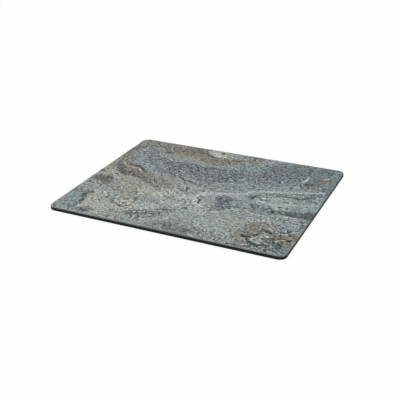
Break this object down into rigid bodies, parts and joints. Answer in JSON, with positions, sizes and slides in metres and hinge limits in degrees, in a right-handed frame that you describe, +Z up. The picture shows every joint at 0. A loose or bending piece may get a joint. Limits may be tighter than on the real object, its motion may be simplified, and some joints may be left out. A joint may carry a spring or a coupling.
{
  "type": "melamine serving tray",
  "caption": "Flat rimless serving tray: a black moulded melamine slab with rounded corners, a stone-look printed top and soft anti-slip feet under it.",
  "frame": {"origin": "on the table under the middle of the tray, level with the undersides of the feet", "axes": "+X along the long side to the right, +Y along the short side to the back, +Z up out of the serving face"},
  "size_m": [0.325, 0.265, 0.0062],
  "materials": {
    "black_melamine": "satin black moulded melamine, a little duller on the trimmed side and the underside",
    "stone_print": "grey, beige and brown weathered-stone print under a satin melamine wear layer",
    "soft_silicone": "matt dark silicone",
    "acrylic_adhesive": "cloudy acrylic transfer adhesive"
  },
  "bodies": {
    "root": {"tray_body": "black_melamine", "printed_sheet": "stone_print", "foot_front_left": "soft_silicone", "foot_front_right": "soft_silicone", "foot_back_left": "soft_silicone", "foot_back_right": "soft_silicone", "adhesive_front_left": "acrylic_adhesive", "adhesive_front_right": "acrylic_adhesive", "adhesive_back_left": "acrylic_adhesive", "adhesive_back_right": "acrylic_adhesive"}
  },
  "joints": []
}
